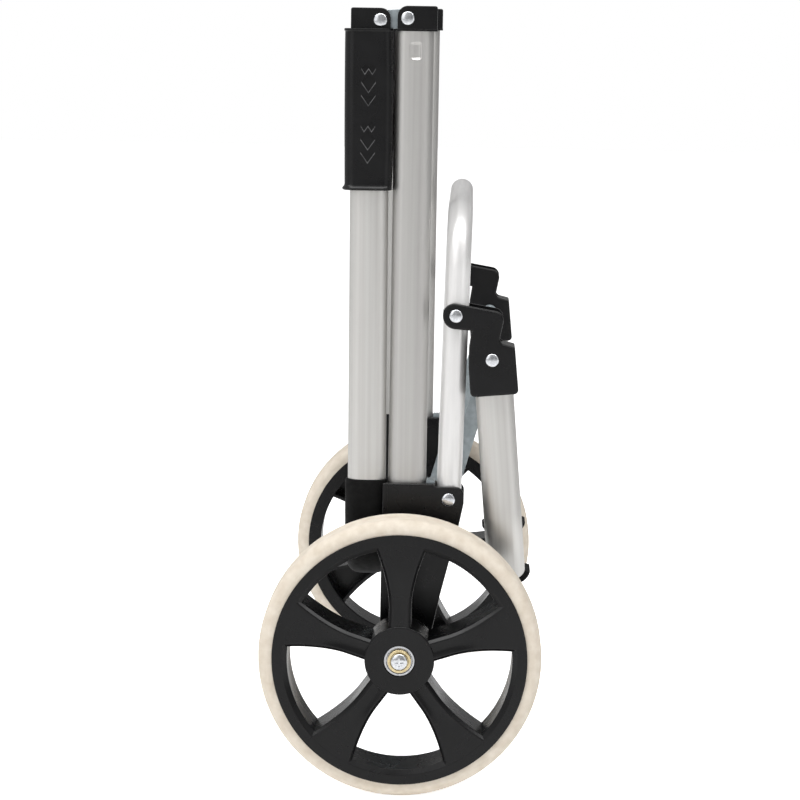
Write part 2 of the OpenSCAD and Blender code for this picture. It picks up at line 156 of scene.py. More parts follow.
def bar(p, q, w, n=20):
    """Outline of a flat bar with round ends."""
    p, q = np.array(p, float), np.array(q, float)
    a = math.atan2(*(q - p)[::-1])
    arc = np.linspace(-math.pi / 2, math.pi / 2, n + 1)
    ends = [(q, a), (p, a + math.pi)]
    return np.array([c + w / 2 * np.array([math.cos(b + t), math.sin(b + t)])
                     for c, b in ends for t in arc])


def points_and_faces(obj):
    """The points, in millimetres, and the faces of an object with its modifiers applied."""
    mesh = bpy.data.meshes.new_from_object(obj.evaluated_get(bpy.context.evaluated_depsgraph_get()))
    v = np.array([p.co for p in mesh.vertices], float).reshape(-1, 3) / MM
    return v, [tuple(p.vertices) for p in mesh.polygons]


def plate(outline, y0, y1, edge):
    """Solid with that X-Z outline from y0 to y1 and rounded edges."""
    curve = bpy.data.curves.new("outline", "CURVE")
    curve.dimensions = "2D"
    curve.fill_mode = "BOTH"
    curve.extrude = ((y1 - y0) / 2 - edge) * MM
    curve.bevel_depth = edge * MM
    curve.bevel_resolution = 3
    curve.offset = -edge * MM
    spline = curve.splines.new("POLY")
    spline.points.add(len(outline) - 1)
    for point, (x, z) in zip(spline.points, outline):
        point.co = (x * MM, z * MM, 0, 1)
    spline.use_cyclic_u = True
    obj = bpy.data.objects.new("outline", curve)
    bpy.context.scene.collection.objects.link(obj)
    v, faces = points_and_faces(obj)
    bpy.data.objects.remove(obj)
    bpy.data.curves.remove(curve)
    return np.stack([v[:, 0], (y0 + y1) / 2 - v[:, 2], v[:, 1]], 1), faces, None


def prism(outline, y0, y1, rise=0.0):
    """Straight solid from y0 to y1, its far end raised by rise."""
    o = np.asarray(outline, float)
    return loft([np.stack([o[:, 0], np.full(len(o), y), o[:, 1] + up], 1)
                 for y, up in ((y0, 0.0), (y1, rise))])


def block(x0, x1, y0, y1, z0, z1):
    """Box between two corners, for cutting."""
    return prism([(x0, z0), (x1, z0), (x1, z1), (x0, z1)], y0, y1)


def lathe(profile, centre, y0, n=96):
    """Turns (radius, outward distance) points about the line through centre along Y."""
    pr = np.asarray(profile, float)
    t = np.arange(n) * 2 * math.pi / n
    rings = [np.stack([centre[0] + pr[:, 0] * math.cos(a), y0 - pr[:, 1],
                       centre[1] + pr[:, 0] * math.sin(a)], 1) for a in t]
    return loft(rings, loop=True)


def solid(chunks):
    """A mesh from chunks, welded, with its faces turned outwards."""
    verts, faces, uvs, base, mapped = [], [], [], 0, False
    for v, f, uv in chunks:
        verts.append(np.asarray(v, float) * MM)
        faces += [tuple(i + base for i in face) for face in f]
        uvs += uv or [tuple((0, 0) for _ in face) for face in f]
        mapped = mapped or uv is not None
        base += len(v)
    mesh = bpy.data.meshes.new("solid")
    mesh.from_pydata(np.concatenate(verts).tolist(), [], faces)
    if mapped:
        mesh.uv_layers.new(name=UV).data.foreach_set("uv", np.array([c for f in uvs for c in f]).ravel())
    bm = bmesh.new()
    bm.from_mesh(mesh)
    bmesh.ops.remove_doubles(bm, verts=bm.verts, dist=WELD)
    bmesh.ops.recalc_face_normals(bm, faces=bm.faces)
    bm.to_mesh(mesh)
    bm.free()
    return mesh


def cut(chunk, *tools):
    """The chunk with the tools taken away from it."""
    made = []
    for c in (chunk,) + tools:
        obj = bpy.data.objects.new("cut", solid([c]))
        bpy.context.scene.collection.objects.link(obj)
        made.append(obj)
    for tool in made[1:]:
        m = made[0].modifiers.new("cut", "BOOLEAN")
        m.operation, m.solver, m.object = "DIFFERENCE", "EXACT", tool
    v, faces = points_and_faces(made[0])
    for obj in made:
        bpy.data.objects.remove(obj)
    return v, faces, None


def piece(name, chunks, material, body, nodes):
    """A visible object that stands for those CAD nodes and rides on that body."""
    mesh = solid(chunks)
    mesh.name = name
    mesh.shade_smooth()
    mesh.set_sharp_from_angle(angle=math.radians(CRISP))
    mesh.materials.append(material)
    obj = bpy.data.objects.new(name, mesh)
    bpy.context.scene.collection.objects.link(obj)
    obj.modifiers.new("flat faces", "WEIGHTED_NORMAL").keep_sharp = True
    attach(obj, body)
    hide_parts(*nodes)


def pair(name, chunks, material, body, node):
    """The piece on the right side, and its mirror image on the left."""
    for side in ("right", "left"):
        on_side = chunks if side == "right" else [mirror(c) for c in chunks]
        piece(f"{name}_{side}", on_side, material, body.format(side), [f"{node}_{side}"])


# ---- tubes ----------------------------------------------------------------

def oval(w, t, crown=0.0, arc=18, flat=12):
    """Closed oval section, w along X and t along the second axis, with slightly crowned flats."""
    half_flat = (w - t) / 2
    half_turn = np.radians(np.linspace(-90, 90, arc + 1))
    near = [(half_flat + t / 2 * math.cos(q), t / 2 * math.sin(q)) for q in half_turn]
    far = [(-x, -z) for x, z in near]
    if half_flat > 0.01:
        across = np.linspace(half_flat, -half_flat, flat + 1)[1:-1]
        p = near + [(x, t / 2) for x in across] + far + [(-x, -t / 2) for x in across]
    else:
        p = near + far[1:-1]
    p = np.array(p)
    p[:, 1] *= 1 - crown * (2 * p[:, 0] / w) ** 2
    return p


def u_line(half, leg, bend, step=12.0, arcs=36):
    """(y, z, outward y, outward z) along a U whose straight legs begin at z = 0, above its bends."""
    rows = []
    for z in np.linspace(leg, 0, max(2, int(leg / step)))[:-1]:
        rows.append((-half, z, -1, 0))
    for q in np.radians(np.linspace(180, 270, arcs)):
        rows.append((bend - half + bend * math.cos(q), bend * math.sin(q), math.cos(q), math.sin(q)))
    straight = half - bend
    for y in np.linspace(-straight, straight, max(3, int(2 * straight / step)))[1:-1]:
        rows.append((y, -bend, 0, -1))
    for q in np.radians(np.linspace(270, 360, arcs)):
        rows.append((half - bend + bend * math.cos(q), bend * math.sin(q), math.cos(q), math.sin(q)))
    for z in np.linspace(0, leg, max(2, int(leg / step)))[1:]:
        rows.append((half, z, 1, 0))
    return rows


def lower(line, by):
    """The U's line, moved down."""
    return [(y, z - by, ny, nz) for y, z, ny, nz in line]


def round_ends(line, edge):
    """The U's rows, each with the inset of its section, so that both ends are rounded."""
    turns = np.radians([0, 25, 50, 75])
    steps = [(edge * (1 - math.cos(q)), edge * (1 - math.sin(q))) for q in turns]
    start, end = ([((y, z - back, ny, nz), inset) for back, inset in steps]
                  for y, z, ny, nz in (line[0], line[-1]))
    return start + [(row, 0.0) for row in line[1:-1]] + end[::-1]


def u_tube(section, line, move, edge=0.0, shift=0.0, ripple=0.0, flip=None):
    """Sweeps section(inset) along a U.

    edge rounds its ends, shift moves it along X, ripple wrinkles the inside of its bends, and flip
    turns the U over, with the line's zero at that height.
    """
    rings = []
    for (y, z, ny, nz), inset in round_ends(line, edge) if edge else [(row, 0.0) for row in line]:
        s = section(inset)
        b = s[:, 1].copy()
        if ripple and 0.02 < abs(ny) < 0.98:
            q = math.atan2(abs(nz), abs(ny))
            inner = np.clip(-b / np.abs(b).max(), 0, 1) ** 2
            b += inner * ripple * math.sin(q * 22) * math.sin(2 * q) ** 0.5
        ring = np.stack([s[:, 0] + shift, y + ny * b, z + nz * b], 1)
        if flip is not None:
            ring[:, 2] = flip - ring[:, 2]
        rings.append(move(ring))
    return loft(rings)


# ---- materials ------------------------------------------------------------

def srgb(*rgb):
    """Linear colour from 8-bit screen values."""
    return [((c / 255 + 0.055) / 1.055) ** 2.4 if c > 10 else c / 255 / 12.92 for c in rgb] + [1.0]


def surface(name, low, high, rough, metal=0.0, size=0.02, stretch=(1, 1, 1), grain=None,
            mapped=False, patches=(0.35, 0.65), **sockets):
    """Principled material whose colour and roughness wander over blobs of that size.

    low and high are the colours it wanders between, and rough its roughness at either end. grain is
    the width of its fine bumps in metres, their height in millimetres and their detail. A mapped
    surface runs along its tube, the others through space, and stretch scales either.
    """
    m = bpy.data.materials.new(name)
    m.use_nodes = True
    nodes, links = m.node_tree.nodes, m.node_tree.links
    shader = nodes["Principled BSDF"]
    shader.inputs["Metallic"].default_value = metal
    for socket, value in sockets.items():
        shader.inputs[socket.replace("_", " ")].default_value = value
    if mapped:
        where = nodes.new("ShaderNodeUVMap")
        where.uv_map = UV
        start = where.outputs["UV"]
    else:
        start = nodes.new("ShaderNodeTexCoord").outputs["Object"]
    scaled = nodes.new("ShaderNodeMapping")
    scaled.inputs["Scale"].default_value = stretch
    links.new(start, scaled.inputs["Vector"])

    def noise(scale, detail):
        """A noise texture's value, that many blobs to the metre."""
        n = nodes.new("ShaderNodeTexNoise")
        n.inputs["Scale"].default_value = scale
        n.inputs["Detail"].default_value = detail
        links.new(scaled.outputs["Vector"], n.inputs["Vector"])
        return n.outputs["Fac"]

    def spread(source, a, b, c, d):
        """The source's range a to b, spread over c to d."""
        r = nodes.new("ShaderNodeMapRange")
        for socket, value in zip(("From Min", "From Max", "To Min", "To Max"), (a, b, c, d)):
            r.inputs[socket].default_value = value
        links.new(source, r.inputs["Value"])
        return r.outputs["Result"]

    blobs = noise(1 / size, 4.0)
    mix = nodes.new("ShaderNodeMix")
    mix.data_type = "RGBA"
    for s in mix.inputs:
        if s.type == "RGBA":
            s.default_value = srgb(*(low if s.name == "A" else high))
    links.new(spread(blobs, *patches, 0, 1), mix.inputs[0])
    colour = next(s for s in mix.outputs if s.type == "RGBA")
    links.new(colour, shader.inputs["Base Color"])
    links.new(spread(noise(2.3 / size, 3.0), 0.3, 0.7, *rough), shader.inputs["Roughness"])
    if grain:
        fine, height, detail = grain
        bump = nodes.new("ShaderNodeBump")
        bump.inputs["Strength"].default_value = 1.0
        bump.inputs["Distance"].default_value = height * MM
        links.new(noise(1 / fine, detail), bump.inputs["Height"])
        links.new(bump.outputs["Normal"], shader.inputs["Normal"])
    return m


plastic = surface("black plastic", (11, 11, 12), (17, 17, 18), (0.24, 0.34), size=0.03,
                  grain=(0.0011, 0.014, 3.0), Specular_IOR_Level=0.27)
hub_plastic = surface("hub plastic", (8, 8, 9), (13, 13, 14), (0.22, 0.32), size=0.04,
                      grain=(0.0012, 0.006, 3.0), Specular_IOR_Level=0.26)
# Light grey painted highlight for the strips along the lower edges of the sleeve's arrows, where their
# upward-facing walls would catch the top light
arrow_highlight_grey = surface("painted arrow highlight", (62, 62, 63), (92, 92, 93), (0.4, 0.5), size=0.004, Specular_IOR_Level=0.3)
foam = surface("grip foam", (9, 9, 9), (15, 15, 15), (0.7, 0.86), size=0.01,
               grain=(0.0014, 0.22, 4.0), Specular_IOR_Level=0.2)
rubber = surface("foot rubber", (10, 10, 10), (16, 16, 16), (0.6, 0.75), size=0.01,
                 grain=(0.001, 0.1, 3.0), Specular_IOR_Level=0.2)
cream = surface("tyre cream", (210, 198, 181), (228, 219, 205), (0.55, 0.7), size=0.007,
                grain=(0.003, 0.22, 5.0), patches=(0.25, 0.75), Specular_IOR_Level=0.3)
drawn = {"rough": (0.42, 0.5), "metal": 1.0, "size": 0.0035, "stretch": (1, 0.008, 1),
         "grain": (0.0008, 0.006, 2.0), "mapped": True}      # fine lines along a drawn tube
anodised = surface("satin aluminium", (204, 202, 199), (213, 212, 209), **drawn)
frame_metal = surface("frame aluminium", (190, 188, 186), (198, 197, 194), **drawn)
polished = surface("bright aluminium", (226, 225, 224), (237, 236, 235), (0.3, 0.4), metal=0.5,
                   size=0.004, stretch=(1, 0.05, 1), grain=(0.0009, 0.01, 2.0), mapped=True)
railing = surface("rail aluminium", (188, 188, 186), (206, 206, 204), (0.36, 0.44), metal=1.0,
                  size=0.004, stretch=(1, 0.02, 1), grain=(0.0008, 0.012, 2.0))
zinc = surface("zinc plate", (160, 169, 173), (178, 187, 191), (0.38, 0.5), metal=0.85,
               size=0.004, grain=(0.0012, 0.02, 4.0))
steel = surface("bright steel", (196, 198, 202), (226, 228, 231), (0.1, 0.2), metal=1.0,
                size=0.002, grain=(0.0009, 0.03, 3.0))
bearing_steel = surface("bearing steel", (172, 173, 176), (202, 203, 206), (0.22, 0.34), metal=1.0,
                        size=0.002, grain=(0.0009, 0.03, 3.0))
gold = surface("yellow zinc", (200, 182, 140), (226, 210, 170), (0.24, 0.36), metal=1.0,
               size=0.003, grain=(0.0008, 0.03, 3.0))


# ---- main frame -----------------------------------------------------------

def main_tube():
    """Oval tube with a punched dimple in its outer flat, steep in front and sloping at the back."""
    middle_x, middle_z = 3.9, 523.7
    front, back, half_height = 1.2, 1.6, 4.2
    slope, gentler, depth = 2.4, 0.6, 1.35
    section = oval(OVAL_W, OVAL_T, CROWN, flat=34)
    outer_flat = section[:, 1] < -5
    coarse, fine = np.linspace(TUBE_FOOT, 515, 20), np.arange(515.5, 532.4, 0.4)
    rings = []
    for z in np.concatenate([coarse, fine, [534.5, TUBE_TOP]]):
        x, y = section[:, 0] + TUBE_X, -FRAME_Y + section[:, 1]
        dx = np.where(x > middle_x, x - middle_x - front, (middle_x - x - back) * gentler)
        dz = abs(z - middle_z) - half_height
        away = np.hypot(np.maximum(dx, 0), max(dz, 0)) + np.minimum(np.maximum(dx, dz), 0)
        sunk = np.clip(1 - away / slope, 0, 1)
        y = y + np.where(outer_flat, depth * sunk * sunk * (3 - 2 * sunk), 0)
        rings.append(np.stack([x, y, np.full(len(x), z)], 1))
    return loft(rings)


pair("main_tube_shell", [main_tube()], frame_metal, "chassis", "main_tube")


def hinge_cap(pivot, top, way):
    """Black cap over a tube's end, its round corner towards way (+1 or -1 along X)."""
    x, z = pivot
    knuckle, length, proud, collar_top = 7.1, 20.7, 0.15, 538.9
    near, far = x + way * knuckle, x - way * length
    body = plate(rounded([(far, TUBE_TOP, 0.3), (near, TUBE_TOP, 0.3), (near, top, 7.2),
                          (far, top, 1.4)]), CAP_OUT, CAP_IN, 0.55)
    reach = sorted((x - way * knuckle, near + way * 3))
    body = cut(body, block(*reach, *CAP_SLOT_Y, z - knuckle, top + 3))
    rim_x = far - way * proud
    collar = plate(rounded([(rim_x, TUBE_TOP, 0.2), (near, TUBE_TOP, 0.2), (near, collar_top, 0.2),
                            (rim_x, collar_top, 0.2)]), -157.85, -142.15, 0.25)
    return [body, collar]


pair("main_cap", hinge_cap(LINK, 554.9, -1), plastic, "chassis", "main_hinge_cap")
pair("handle_cap", hinge_cap(HINGE, 553.2, 1), plastic, "handle",
     "handle_hinge_cap")
pair("link_plate", [plate(bar(HINGE, LINK, 13.4), *LINK_Y, 0.35)], zinc, "hinge_links",
     "hinge_link")


def dome(p, y, way=1, r=4.7, h=1.6):
    """Rivet head on the plane y, its dome outboard for way 1."""
    brim = 0.45
    rise = [(r * math.cos(q), brim + (h - brim) * math.sin(q))
            for q in np.radians(np.linspace(0, 90, 12))]
    profile = np.array([(0, -0.3), (r - 0.35, -0.3), (r - 0.1, 0.02), (r, 0.25)] + rise)
    profile[:, 1] *= way
    return lathe(profile, p, y, 48)


def pin(p, y0, y1, r=2.5):
    """Round pin along Y."""
    return prism(disc(*p, r, 32), y0, y1)


def through_rivets(p):
    """A rivet with a head on each face of a hinge cap, on both sides."""
    return both(dome(p, CAP_OUT), dome(p, CAP_IN, -1), pin(p, CAP_OUT, CAP_IN))


def cheek_rivets(p):
    """A rivet through both cheeks of a bracket, on both sides."""
    return both(dome(p, CHEEK_OUT), pin(p, CHEEK_OUT, -137.5))


strut_rivets = both(dome(STRUT, -134.1, -1), pin(STRUT, -FRAME_Y, -134.1))
for name, chunks, body in (
        ("main_hinge_rivets", through_rivets(LINK), "chassis"),
        ("handle_hinge_rivets", through_rivets(HINGE), "handle"),
        ("scoop_pivot_rivets", cheek_rivets(SCOOP), "chassis"),
        ("knee_rivets", cheek_rivets(KNEE), "scoop"),
        ("leg_strut_rivets", cheek_rivets(LEG), "leg"),
        ("strut_pivot_rivets", strut_rivets, "chassis")):
    piece(name + "_heads", chunks, steel, body, [name])


def base_bracket():
    """Moulded bracket, open towards the handle, with a fork for the scoop and a groove at its back."""
    outline = rounded([(-15.4, 216.5, 0.9), (-16, 83.2, 16), (16.5, 83.2, 13), (27.2, 135.3, 60),
                       (39.5, 185.4, 40), (43.0, 203, 12), (43.0, 214.6, 7.4), (23, 214.6, 0.8),
                       (20.6, 216.5, 0.8)])
    below, above = 60, 230
    handle_side = block(-30, -11.5, INNER_OUT, -130, below, above)
    fork = block(22.3, 70, INNER_OUT, INNER_IN, 195.9, above)
    groove = block(-11.9, -11.2, -163, -162.2, below, above)
    return [cut(plate(outline, CHEEK_OUT, CHEEK_IN, 1.0), handle_side, fork, groove)]


pair("bracket_shell", base_bracket(), plastic, "chassis", "base_bracket")

# ---- handle ---------------------------------------------------------------
# Its sub-frame hangs down from the tube's end at the hinge.

HANDLE_BAR_Z = 145.9            # cross bar's centre line, folded
HANDLE_BEND = 55.0
GRIP_TOP = 218.0
on_handle = place((HANDLE_X, 0, TUBE_TOP), -0.3)
DROP = TUBE_TOP - HANDLE_BAR_Z - HANDLE_BEND

handle_line = lower(u_line(FRAME_Y, DROP, HANDLE_BEND), DROP)
piece("handle_tube_shell", [u_tube(lambda i: oval(OVAL_W, OVAL_T, CROWN), handle_line, on_handle)],
      anodised, "handle", ["handle_tube"])
grip_line = lower(u_line(FRAME_Y, GRIP_TOP - HANDLE_BAR_Z - HANDLE_BEND, HANDLE_BEND), DROP)
piece("grip_foam",
      [u_tube(lambda i: oval(30.5 - 2 * i, 17.4 - 2 * i, 0.1), grip_line, on_handle, edge=1.1,
              shift=-0.35)],
      foam, "handle", ["handle_grip"])

SLEEVE_TOP = 1.5                # above the handle tube's end
SLEEVE_LENGTH = 113.0
SLEEVE_BACK, SLEEVE_FRONT, SLEEVE_SIDE = 17.7, 15.9, 11.2    # its faces, from the tube's axis
ARROW_DROPS = (-0.8, 39.2)      # upper and lower set of arrows

# Each arrow's lower edge, left to right, and the rest of its outline
ARROWS = (
    ([(-34.7, 510.5), (-32.3, 506.7), (-29.6, 510.5), (-27.0, 506.7), (-24.5, 510.5)],
     [(-27.0, 513.2), (-29.6, 511.6), (-32.3, 513.2)]),
    ([(-34.7, 501.2), (-29.6, 494.0), (-24.5, 501.2)], [(-29.6, 506.6)]),
    ([(-34.7, 492.0), (-29.6, 484.8), (-24.5, 492.0)], [(-29.6, 490.6)]))


def sleeve_ring(grow, z, bulge=0.0):
    """Outer outline of the sleeve, flatter in front, grown and bulged by so much."""
    x0, x1 = -SLEEVE_BACK - grow - 0.3 * bulge, SLEEVE_FRONT + 0.9 * bulge
    y, r = SLEEVE_SIDE + grow, 7.0
    out = rounded([(x0, -y, r), (x1, -y, r), (x1, y, r), (x0, y, r)], steps=14)
    return np.stack([out[:, 0], out[:, 1], np.full(len(out), z)], 1)


def lock_sleeve():
    """Moulded sleeve with lips, a slot for the link and recessed arrows on its outer face."""
    low, high = SLEEVE_TOP - SLEEVE_LENGTH, SLEEVE_TOP
    outer = [(0.3, low), (0.9, low + 0.4), (1.3, low + 1.1), (1.3, low + 1.6), (0.8, low + 2.3),
             (0.1, low + 3.2), (-0.25, low + 4.4)]
    outer += [(-0.25 * math.cos(t * 1.57), low + 8 + t * 97) for t in np.linspace(0, 1, 14)]
    outer += [(0.0, high - 2.2), (0.35, high - 1.8), (0.6, high - 1.4), (0.6, high - 0.4),
              (0.2, high)]
    rings = [sleeve_ring(g, z, max(0, math.sin(math.pi * (z - low) / (high - low)) ** 0.8))
             for g, z in outer]
    m = len(rings[0])
    bore_x, bore_y, corner = 14.4, 9.4, 1.8
    for g, z in ((0.35, high), (0.0, high - 0.5), (0.0, low + 0.5), (0.35, low)):
        back, front, side = -bore_x - g, bore_x + g * 0.5, bore_y + g
        ring = rounded([(back, -side, corner), (front, -side, corner), (front, side, corner),
                        (back, side, corner)], steps=14)
        at = np.linspace(0, len(ring), m, endpoint=False).astype(int)
        rings.append(np.stack([ring[at, 0], ring[at, 1], np.full(m, z)], 1))
    v, faces, _ = loft(rings, loop=True)
    v = on_handle(v + np.array([0, -FRAME_Y, 0]))
    slot_length = 36
    tools = [block(HANDLE_X + 8, HANDLE_X + 25, *SLEEVE_SLOT_Y, TUBE_TOP + SLEEVE_TOP - slot_length,
                   545)]
    for drop in ARROW_DROPS:
        tools += [prism([(x, z - drop) for x, z in edge + top], *ARROW_RECESS_Y) for edge, top in ARROWS]
    return [cut((v, faces, None), *tools)]


def arrow_highlights():
    """Thin proud strips along the lower edges of the sleeve's arrows, painted light grey as the
    highlight that their upward-facing walls would catch.
    """
    height = 1.0
    lines = []
    for drop in ARROW_DROPS:
        for edge, _ in ARROWS:
            upper = [(x, z - drop) for x, z in edge]
            under = [(x, z - height) for x, z in reversed(upper)]
            lines.append(prism(upper + under, *ARROW_HIGHLIGHT_Y))
    return lines


pair("sleeve_shell", lock_sleeve(), plastic, "sleeve_{}", "lock_sleeve")
# Light grey strips paint the highlight along the arrows' lower edges
pair("arrow_highlights", arrow_highlights(), arrow_highlight_grey, "sleeve_{}", "lock_sleeve")

# ---- scoop and leg --------------------------------------------------------

SCOOP_ARM = 171.5               # straight part of each arm
SCOOP_BEND = 40
on_scoop = place((SCOOP[0], 0, SCOOP[1]), SCOOP_LEAN)
piece("scoop_tube_shell",
      [u_tube(lambda i: oval(SCOOP_TUBE - 2 * i, SCOOP_TUBE - 2 * i, arc=28),
              u_line(FRAME_Y, SCOOP_ARM, SCOOP_BEND), on_scoop, edge=7.5, ripple=0.22, flip=164.0)],
      polished, "scoop", ["scoop_tube"])


def knee_bracket():
    """Moulded elbow round the leg's top, with a fork for the scoop."""
    offsets = [(-9.4, 10.2, 9.3), (35, 2.6, 6.6), (30.8, -18.8, 4), (42.3, -21.6, 1.5),
               (45.7, -55.1, 3.2), (11.4, -58.2, 3.5), (9.6, -37.5, 15), (9.6, -24.2, 15),
               (11.8, -10.4, 1.2), (-9.4, -8.9, 9.3)]
    outline = rounded([(KNEE[0] + x, KNEE[1] + z, r) for x, z, r in offsets])
    fork = block(20, 100, INNER_OUT, INNER_IN, 318.5, 370)
    return [cut(plate(outline, CHEEK_OUT, CHEEK_IN, 1.3), fork)]


pair("knee_shell", knee_bracket(), plastic, "leg", "knee_bracket")

LEG_LEAN = 5.0
LEG_BAR_Z = 142.5               # cross bar's centre line, folded
LEG_BEND = 50
LEG_ARM = 120                   # straight part of each arm
on_leg = place((LEG[0] + (LEG[1] - LEG_BAR_Z) * math.tan(math.radians(LEG_LEAN)), 0, LEG_BAR_Z),
               -LEG_LEAN)
leg_line = lower(u_line(FRAME_Y, LEG_ARM, LEG_BEND), -LEG_BEND)
piece("leg_tube_shell", [u_tube(lambda i: oval(OVAL_W, OVAL_T, CROWN), leg_line, on_leg)], anodised,
      "leg", ["leg_tube"])


def leg_foot():
    """Rubber shell round the underside of the leg's cross bar, with its ends rounded."""
    middle_y, half_flat, tube_r, gap, wall = -90.0, 6.2, 7.5, 0.05, 4.4
    under = np.radians(np.linspace(-16, -90, 20))

    def trough(r):
        """Outline of the trough's lower face, from front to back."""
        half = [(half_flat + r * math.cos(q), r * math.sin(q)) for q in under]
        return half + [(-x, z) for x, z in reversed(half)]

    rings = []
    for y, thin in ((-14, 1.6), (-13.5, 0.8), (-12.6, 0.2), (-11.5, 0), (12, 0), (12.8, 0.15),
                    (13.6, 0.6), (14, 1.3)):
        ring = np.array(trough(tube_r + wall - thin) + trough(tube_r + gap)[::-1])
        rings.append(on_leg(np.stack([ring[:, 0], np.full(len(ring), middle_y + y), ring[:, 1]], 1)))
    return [loft(rings)]


pair("foot_shell", leg_foot(), rubber, "leg", "leg_foot")
pair("strut_bar", [plate(bar(STRUT, LEG, 11.8), STRUT_OUT, STRUT_IN, 0.35), dome(LEG, STRUT_IN, -1)],
     zinc, "strut_{}_arm", "strut")


# ---- wheels ---------------------------------------------------------------

# Outlines are (radius, distance outwards from the wheel's middle, corner radius).

# The chamfer of a spoke's front edge, with its corners rounded: how far in from the side and how
# far back from the face, as parts of the edge's width
SLOPE = [(0.04, 0.84), (0.1, 0.74), (0.68, 0.16), (0.8, 0.05)]


def half_width(r):
    """Half the spoke's width, flaring towards the rim."""
    return 7.8 + 9.2 * (max(0, (r - 38) / 40)) ** 1.7


def spoke(turn):
    """Hollow-backed spoke, dished near the boss, with chamfered front edges."""
    angle = math.radians(turn)
    front, back, web, wall, edge, deepest = 17.95, -16, 6, 2.6, 2.9, 1.1
    rings = []
    for r in np.linspace(20, 83.4, 48):
        half = min(half_width(r), math.sqrt(85.2 ** 2 - r * r))
        fall = min(1, max(0, (66 - r) / 32))
        dish = deepest * fall * fall * (3 - 2 * fall)
        chamfer = [(half - a * edge, front - edge * b) for a, b in SLOPE]
        ring = [(-half, back), (-half, 0), (-half, front - edge)]
        ring += [(-s, d) for s, d in chamfer]
        ring += [(s * (half - edge), front - dish * (1 - s * s)) for s in np.linspace(-1, 1, 15)]
        ring += chamfer[::-1]
        ring += [(half, front - edge), (half, 0), (half, back), (half - wall, back),
                 (half - wall, web), (wall - half, web), (wall - half, back)]
        s, d = np.array(ring).T
        rings.append(np.stack([r * math.cos(angle) - s * math.sin(angle), -WHEEL_Y - d,
                               AXLE_Z + r * math.sin(angle) + s * math.cos(angle)], 1))
    return loft(rings)


rim = lathe(rounded([(79.4, -18, 1), (90, -18, 0.5), (90, -16.6, 0.3), (85.4, -16.6, 0),
                     (85.4, 16.6, 0), (90, 16.6, 0.3), (90, 18, 0.5), (83.0, 18, 0.8),
                     (79.4, 15.1, 0.8)]),
            AXLE, -WHEEL_Y, 180)
boss = lathe(rounded([(11, 18, 0.5), (24.6, 18, 1.0), (24.6, -18, 0.8), (11, -18, 0.4), (11, -11, 0),
                      (8.5, -11, 0), (8.5, 11, 0), (11, 11, 0)]), AXLE, -WHEEL_Y, 96)
tyre = lathe(rounded([(85.7, -16.5, 0.6), (85.7, 16.5, 0.6), (100, 16.5, 8), (100, -16.5, 8)], 14),
             AXLE, -WHEEL_Y, 200)
race = [(4.04, 11, 0), (11, 11, 0.2), (11, 17.0, 0.2), (10.7, 17.8, 0.4), (9.3, 17.8, 0.3),
        (9.0, 17.0, 0), (6.2, 17.0, 0), (6.0, 17.8, 0.3), (4.04, 17.8, 0.3)]
bearings = [lathe(rounded([(r, s * d, e) for r, d, e in race]), AXLE, -WHEEL_Y, 72) for s in (1, -1)]
for side, turn in (("right", 0.0), ("left", -23.5)):
    turned = [spoke(90 + turn + 360 / 5 * i) for i in range(5)]
    for name, chunks, look, slot in (
            ("rim", [rim], hub_plastic, "hub_plastic"), ("spokes", turned, hub_plastic, "hub_plastic"),
            ("boss", [boss], hub_plastic, "hub_plastic"), ("tyre", [tyre], cream, "tyre_cream"),
            ("bearings", bearings, bearing_steel, "bright_steel")):
        if side == "left":
            chunks = [mirror(c) for c in chunks]
        node = f"{name}_{side}" if name in ("tyre", "bearings") else f"wheel_{name}_{side}"
        piece(f"{name}_ring_{side}", chunks, look, f"wheel_{side}", [node])

washer = lathe(rounded([(2.5, 0, 0), (8.4, 0, 0.2), (8.4, 1.2, 0.5), (6.6, 1.2, 0.3), (6.2, 0.8, 0),
                        (2.5, 0.8, 0)]), AXLE, WASHER_Y, 64)
piece("washer_rings", both(washer), gold, "chassis", ["axle_washers"])

WASHER_T = 1.2
HEAD_R, HEAD_BRIM, HEAD_DOME = 5.9, 1.2, 1.95
SLOT_HALF, SLOT_REACH = 0.55, 3.1
head = lathe([(0, 0), (5.5, 0), (5.85, 0.3), (HEAD_R, 0.9)]
             + [(HEAD_R * math.cos(q), HEAD_BRIM + HEAD_DOME * math.sin(q))
                for q in np.radians(np.linspace(0, 90, 14))],
             AXLE, WASHER_Y - WASHER_T, 64)
slots = [block(-x, x, WASHER_Y - 6, WASHER_Y - 3.0, AXLE_Z - z, AXLE_Z + z)
         for x, z in ((SLOT_REACH, SLOT_HALF), (SLOT_HALF, SLOT_REACH))]
piece("screw_heads", both(cut(head, *slots), pin(AXLE, WASHER_Y - WASHER_T, WASHER_Y + 14)), steel,
      "chassis", ["axle_screws"])

for name, look, slot in (("upper_cross_rail", railing, "anodised_tube"),
                         ("lower_cross_rail", railing, "anodised_tube"),
                         ("axle", zinc, "zinc_steel"), ("axle_spacers", plastic, "black_plastic"),
                         ("socket_clips", zinc, "zinc_steel")):
    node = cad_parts[name]
    node.data.materials.clear()
    node.data.materials.append(look)

# ---- floor, light and camera ----------------------------------------------

scene = bpy.context.scene
REACH = 9                       # metres from the middle to the floor's edges
ground = bpy.data.meshes.new("floor")
ground.from_pydata([(-REACH, -REACH, 0), (REACH, -REACH, 0), (REACH, REACH, 0), (-REACH, REACH, 0)],
                   [], [(0, 1, 2, 3)])
floor = bpy.data.objects.new("floor", ground)
scene.collection.objects.link(floor)
pale = surface("pale floor", (247, 247, 247), (250, 250, 250), (0.8, 0.9), size=0.5,
               Emission_Color=(1, 1, 1, 1), Specular_IOR_Level=0.0)
ground.materials.append(pale)

